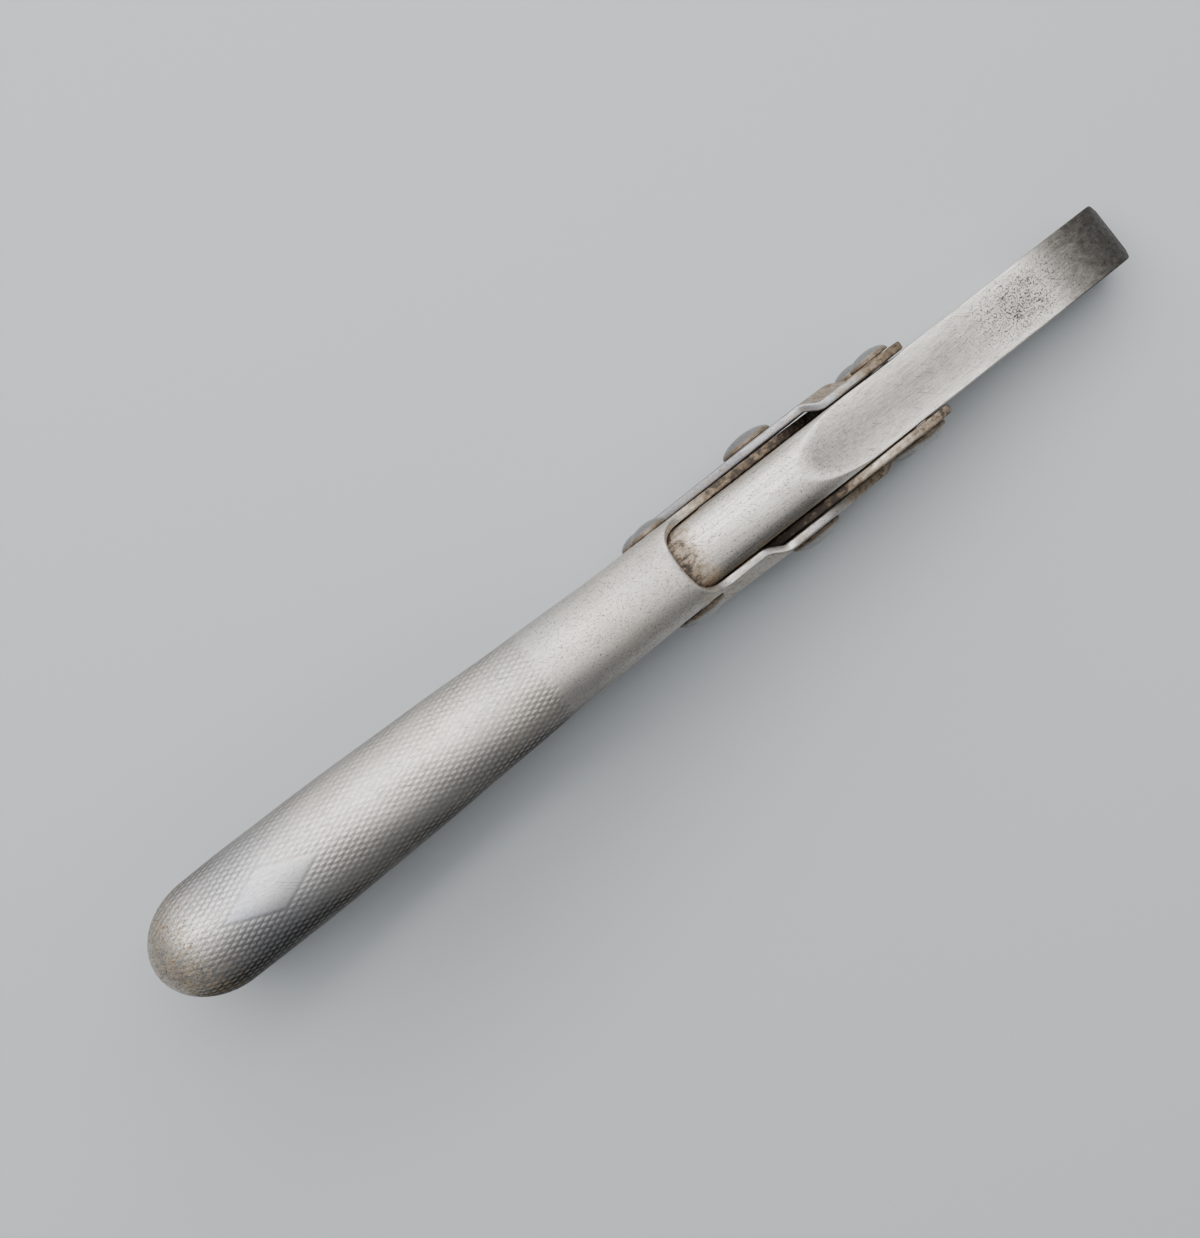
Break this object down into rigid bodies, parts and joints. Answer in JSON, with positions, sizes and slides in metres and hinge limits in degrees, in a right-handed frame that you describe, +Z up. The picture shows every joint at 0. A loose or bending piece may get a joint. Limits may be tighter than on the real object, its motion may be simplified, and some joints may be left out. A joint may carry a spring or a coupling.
{
  "type": "gas pliers",
  "caption": "Parallel-jaw gas pliers: pressed steel bow handles with checkered grips cross at a pivot and drive toothed jaws with a round pipe recess.",
  "frame": {"origin": "middle of the footprint at the surface that the closed pliers stand on, on edge", "axes": "+X along the tool towards the nose, +Y to the left across the jaws, +Z up"},
  "size_m": [0.166, 0.0186, 0.0474],
  "materials": {
    "handle_steel": "pressed sheet steel, worn nickel plate, checkered grip",
    "jaw_steel": "forged steel, ground and worn bright, fine pitting",
    "rivet_steel": "rivet steel, domed heads worn smooth"
  },
  "bodies": {
    "lower_handle": {"handle_lower": "handle_steel", "pivot_rivet_left": "rivet_steel", "pivot_rivet_right": "rivet_steel", "jaw_rivet_upper": "rivet_steel", "guide_rivet_lower": "rivet_steel"},
    "upper_handle": {"handle_upper": "handle_steel", "jaw_rivet_lower": "rivet_steel", "guide_rivet_upper": "rivet_steel"},
    "upper_jaw": {"jaw_upper": "jaw_steel"},
    "lower_jaw": {"jaw_lower": "jaw_steel"}
  },
  "joints": [
    {"name": "handle_pivot", "type": "hinge", "parent": "lower_handle", "child": "upper_handle", "pos_m": [0.02366, 0, 0.01329], "axis": [0, 1, 0], "range_deg": [0, 34]},
    {"name": "upper_jaw_pivot", "type": "hinge", "parent": "lower_handle", "child": "upper_jaw", "pos_m": [0.04362, 0, 0.01638], "axis": [0, 1, 0], "range_deg": [0, 17]},
    {"name": "lower_jaw_pivot", "type": "hinge", "parent": "upper_handle", "child": "lower_jaw", "pos_m": [0.04219, 0, 0.00527], "axis": [0, 1, 0], "range_deg": [-17, 0]}
  ],
  "couplings": [
    {"joint": "upper_jaw_pivot", "follows": "handle_pivot", "ratio": 0.5},
    {"joint": "lower_jaw_pivot", "follows": "handle_pivot", "ratio": -0.5}
  ]
}
